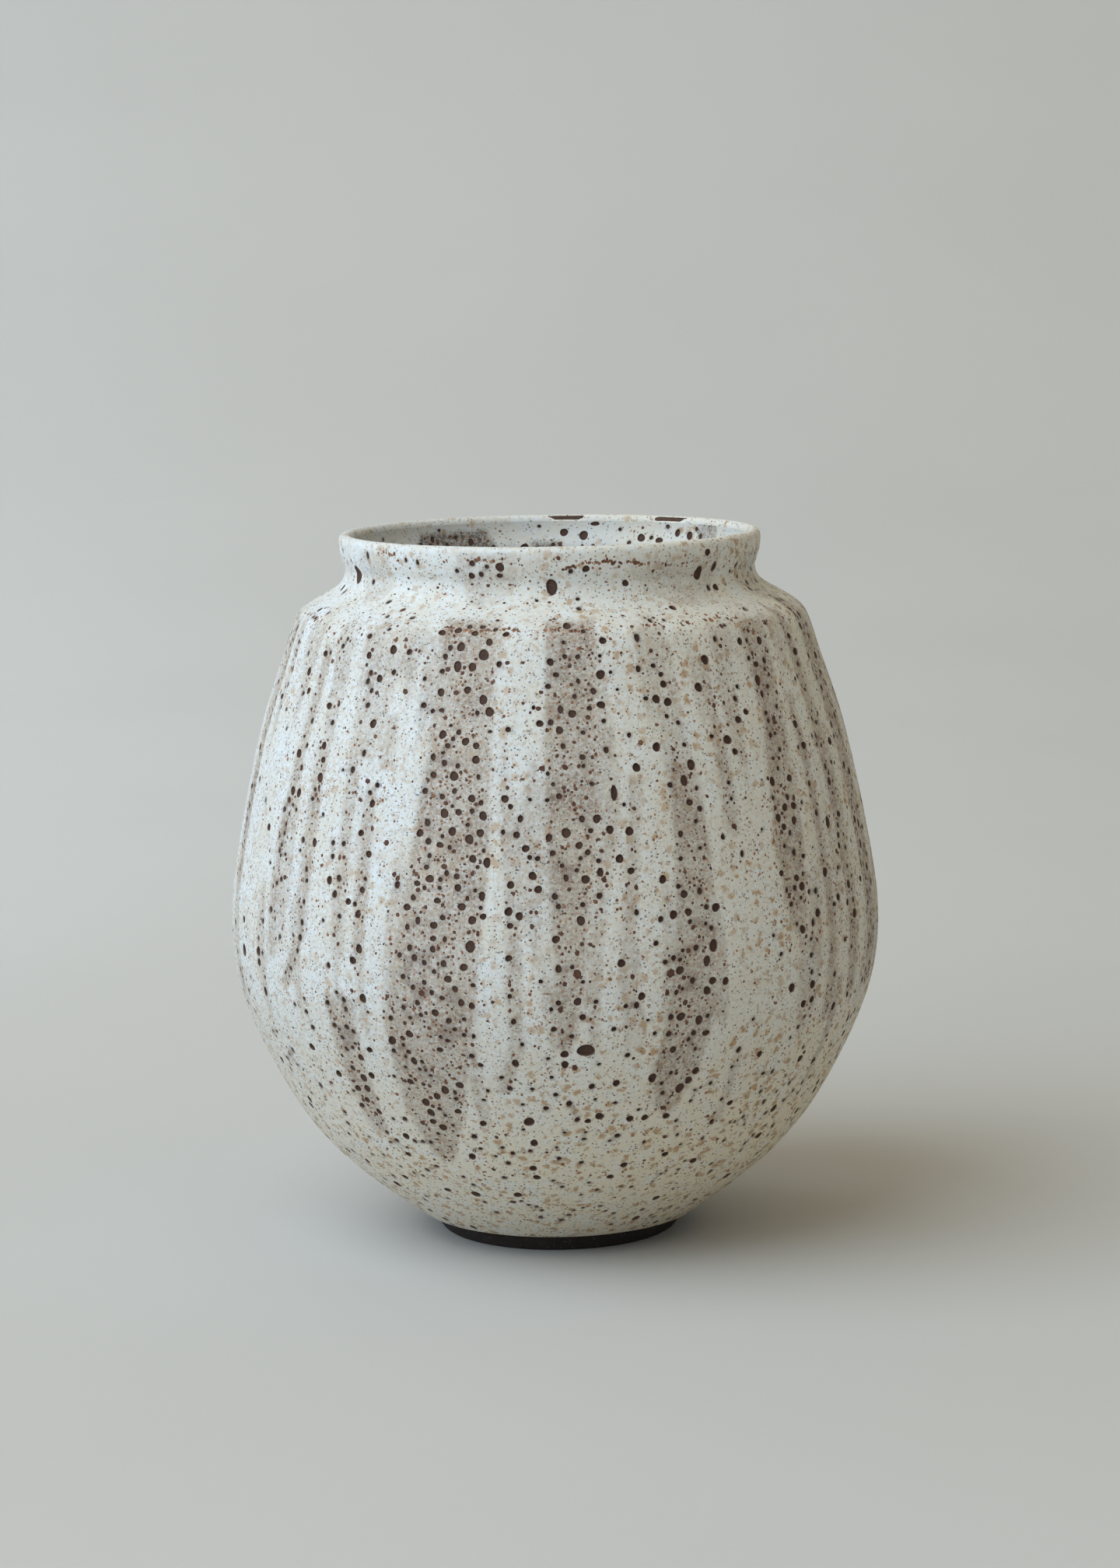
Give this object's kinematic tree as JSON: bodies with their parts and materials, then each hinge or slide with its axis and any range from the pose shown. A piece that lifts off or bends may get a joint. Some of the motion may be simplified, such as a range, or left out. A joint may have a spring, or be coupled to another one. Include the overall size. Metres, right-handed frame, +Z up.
{
  "type": "vase",
  "caption": "Globular thrown stoneware vase with a sloping shoulder, short flared neck, wide round mouth and low bare foot ring; its hollow belly holds stems and water.",
  "frame": {"origin": "on the pot's axis, on the plane that the foot ring stands on", "axes": "+Z up along the axis it was thrown on, -Y towards the side with the broadest thin-glazed streaks, +X to its right"},
  "size_m": [0.152, 0.152, 0.165],
  "materials": {
    "thrown_clay": "bare dark brown stoneware, matt, seen at the bottom of each pit in the glaze",
    "foot_clay": "bare near-black stoneware, matt, with fine turning lines",
    "outer_glaze": "satin-matt white, pitted down to the clay, thin and brown between runs, with tan and iron specks",
    "liner_glaze": "satin-matt blue-white, pitted, brown where it is thin"
  },
  "bodies": {
    "root": {"clay_body": "thrown_clay", "foot_ring": "foot_clay", "outer_glaze": "outer_glaze", "inner_glaze": "liner_glaze"}
  },
  "joints": []
}
